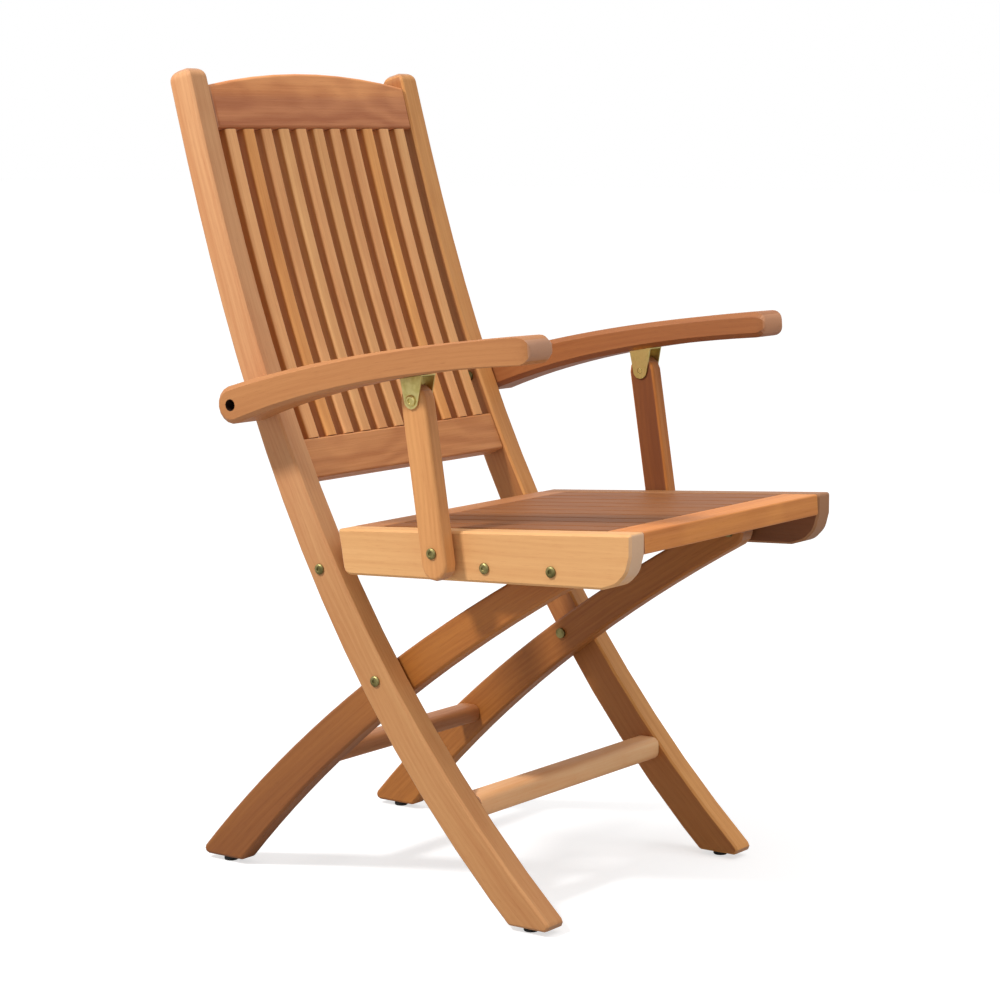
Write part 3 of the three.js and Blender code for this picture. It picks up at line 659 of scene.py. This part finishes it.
def numbered(kind):
    """The nodes of a kind that is numbered, in order."""
    return sorted(node for node in nodes if node.startswith(kind))


for index, (node, tones) in enumerate(zip(numbered("back_slat_"), BACK_BOARDS)):
    board = teak(f"teak_{node}", **tones, **BACK_FIGURE, cut=BACK_CUT + BACK_CUT_STEP * index)
    wooden(node, board, BENT)
for index, node in enumerate(numbered("seat_slat_")):
    board = teak(f"teak_{node}", **SEAT_BOARD, cut=SEAT_CUT + SEAT_CUT_STEP * index)
    wooden(node, board, soften=SLAT_EDGE)


# Brass and rubber

CLOUDS = ((90, 90, 90), 3)
TARNISH_LIMITS = (0.35, 0.7)
CLOUD_LIMITS = (0.3, 0.7)
CLOUD_DULLING = 0.12
GRIT = ((900, 900, 900), 2)
RUBBER_TONES = ((22, 21, 20), (44, 42, 40))
RUBBER_ROUGHNESS = 0.75
RUBBER_BUMP = {"Strength": 0.2, "Distance": 0.3 * MM}
SOCKET_RIM = 1.9 * MM
SOCKET_DEPTH = 1.4 * MM


def metal(name, colour, tarnish, roughness):
    """Lacquered brass with a faint cloudy tarnish."""
    material, tree, shader = new_material(name)
    place = tree.nodes.new("ShaderNodeTexCoord").outputs["Object"]
    clouds = noise(tree, place, *CLOUDS)
    clouded = blend_colour(tree, remap(tree, clouds, TARNISH_LIMITS), linear(colour), linear(tarnish))
    tree.links.new(clouded, shader.inputs["Base Color"])
    dulled = remap(tree, clouds, CLOUD_LIMITS, (roughness, roughness + CLOUD_DULLING))
    tree.links.new(dulled, shader.inputs["Roughness"])
    shader.inputs["Metallic"].default_value = 1
    return material


def rubber(name):
    """Black rubber with a fine grit."""
    material, tree, shader = new_material(name)
    place = tree.nodes.new("ShaderNodeTexCoord").outputs["Object"]
    grit = noise(tree, place, *GRIT)
    dark, light = (linear(tone) for tone in RUBBER_TONES)
    tree.links.new(blend_colour(tree, grit, dark, light), shader.inputs["Base Color"])
    shader.inputs["Roughness"].default_value = RUBBER_ROUGHNESS
    bump = node_of(tree, "ShaderNodeBump", {"Height": grit, **RUBBER_BUMP})
    tree.links.new(bump.outputs["Normal"], shader.inputs["Normal"])
    return material


BRASS = metal("brass", colour=(222, 206, 138), tarnish=(196, 178, 104), roughness=0.34)
OLD_BRASS = metal("old_brass", colour=(150, 140, 92), tarnish=(104, 96, 58), roughness=0.42)
RUBBER = rubber("rubber")


def sink_socket(piece):
    """Sinks a round socket into the crown of a bolt's head, on the side away from the chair's middle."""
    outward = 1 if sum(vertex.co.x for vertex in piece.data.vertices) > 0 else -1
    crown = max(vertex.co.x * outward for vertex in piece.data.vertices)
    on_crown = [abs(vertex.co.x * outward - crown) < MERGE_DISTANCE for vertex in piece.data.vertices]
    clear_selection(piece)
    for face in piece.data.polygons:
        face.select = all(on_crown[v] for v in face.vertices)
    set_mode("EDIT")
    bpy.ops.mesh.dissolve_faces()
    bpy.ops.mesh.inset(thickness=SOCKET_RIM, depth=0)
    bpy.ops.mesh.extrude_region_move(TRANSFORM_OT_translate={"value": (-outward * SOCKET_DEPTH, 0, 0)})
    set_mode("OBJECT")


def fitting(node, material, width):
    """A node's solid with its edges softened, and a socket where it is a bolt."""
    piece = copy_of(node, f"{node}_piece")
    if node.endswith("_bolt"):
        sink_socket(piece)
    round_edges(piece, width, CHAMFER_ANGLES)
    round_edges(piece, width, SQUARE_ANGLES)
    smooth(piece)
    put_in_place(piece, node, material)


for side in SIDES:
    for kind in ("crossing", "link_post", "link_seat", "leg_seat", "support_seat", "bracket", "arm"):
        fitting(f"{side}_{kind}_bolt", BRASS if kind == "bracket" else OLD_BRASS, BOLT_EDGE)
    fitting(f"{side}_fold_link", BRASS, SHEET_EDGE)
    fitting(f"{side}_arm_bracket", BRASS, SHEET_EDGE)
    for end in ("front", "rear"):
        fitting(f"{side}_{end}_foot_pad", RUBBER, PAD_EDGE)


# Floor, lamps and camera. Azimuths turn from the chair's front towards +X.

WORLD_STRENGTH = 0.4
FLOOR_SIZE = 60
FLOOR_GREY = (0.55, 0.55, 0.55, 1)
FLOOR_GLOW = 0.64
KEY_AZIMUTH = math.radians(-112)
KEY_ELEVATION = math.radians(42)
KEY_DISTANCE = 3
KEY_POWER = 78
KEY_SIZE = 0.45
KEY_AIM = Vector((0, 0, 0.7))
FILL_AZIMUTH = 0
FILL_ELEVATION = math.radians(66)
FILL_STRENGTH = 1.15
FILL_SPREAD = math.radians(50)
CAMERA_AZIMUTH = math.radians(-54.14)
CAMERA_ELEVATION = math.radians(6.87)
CAMERA_DISTANCE = 3.0574
AIM_BEHIND_FRONT = 0.311
AIM_HEIGHT = 0.4591
CAMERA_AIM = Vector((0, cad_box[0][1] + AIM_BEHIND_FRONT, AIM_HEIGHT))
LENS = 99.15
SENSOR = 36
FRAME_SHIFT = (0.0048, -0.0391)


def white_where_seen(tree, strength_else):
    """1 for what the camera, a reflection or glass sees, and a plain level for the light itself."""
    path = tree.nodes.new("ShaderNodeLightPath").outputs
    indirect = math_node(tree, "MAXIMUM", path["Is Glossy Ray"], path["Is Transmission Ray"])
    seen = math_node(tree, "MAXIMUM", path["Is Camera Ray"], indirect)
    made = node_of(tree, "ShaderNodeMapRange", {"Value": seen, "To Min": strength_else, "To Max": 1})
    return made.outputs["Result"]


def white_world():
    world = bpy.data.worlds.new("white_studio")
    bpy.context.scene.world = world
    world.use_nodes = True
    tree = world.node_tree
    background = tree.nodes["Background"]
    background.inputs["Color"].default_value = WHITE
    tree.links.new(white_where_seen(tree, WORLD_STRENGTH), background.inputs["Strength"])


def white_floor():
    """A floor that takes shadows and glows for the camera, so that it shows as white."""
    deselect()
    bpy.ops.mesh.primitive_plane_add(size=FLOOR_SIZE, location=(0, 0, 0))
    floor = bpy.context.object
    floor.name = "floor"
    material, tree, shader = new_material("white_floor")
    shader.inputs["Base Color"].default_value = FLOOR_GREY
    shader.inputs["Roughness"].default_value = 1
    shader.inputs["Specular IOR Level"].default_value = 0
    shader.inputs["Emission Color"].default_value = WHITE
    path = tree.nodes.new("ShaderNodeLightPath").outputs
    tree.links.new(times(tree, path["Is Camera Ray"], FLOOR_GLOW), shader.inputs["Emission Strength"])
    floor.data.materials.append(material)


def place_facing(name, data, azimuth, elevation, aim=Vector(), distance=0):
    """Adds a lamp or camera that looks at its aim from a direction and a distance."""
    level = math.cos(elevation)
    way = Vector((math.sin(azimuth) * level, -math.cos(azimuth) * level, math.sin(elevation)))
    made = bpy.data.objects.new(name, data)
    bpy.context.scene.collection.objects.link(made)
    made.location = aim + way * distance
    made.rotation_euler = (-way).to_track_quat("-Z", "Y").to_euler()
    return made


def lamps():
    """A round key lamp on the sitter's right, a little rearwards, and a broad fill from above the front."""
    key = bpy.data.lights.new("key", "AREA")
    key.shape = "DISK"
    key.energy = KEY_POWER
    key.size = KEY_SIZE
    place_facing("key", key, KEY_AZIMUTH, KEY_ELEVATION, KEY_AIM, KEY_DISTANCE)
    fill = bpy.data.lights.new("fill", "SUN")
    fill.energy = FILL_STRENGTH
    fill.angle = FILL_SPREAD
    place_facing("fill", fill, FILL_AZIMUTH, FILL_ELEVATION)


def camera():
    data = bpy.data.cameras.new("camera")
    data.lens = LENS
    data.sensor_width = SENSOR
    data.shift_x, data.shift_y = FRAME_SHIFT
    made = place_facing("camera", data, CAMERA_AZIMUTH, CAMERA_ELEVATION, CAMERA_AIM, CAMERA_DISTANCE)
    bpy.context.scene.camera = made


white_world()
white_floor()
lamps()
camera()
bpy.context.scene.view_settings.view_transform = "Standard"
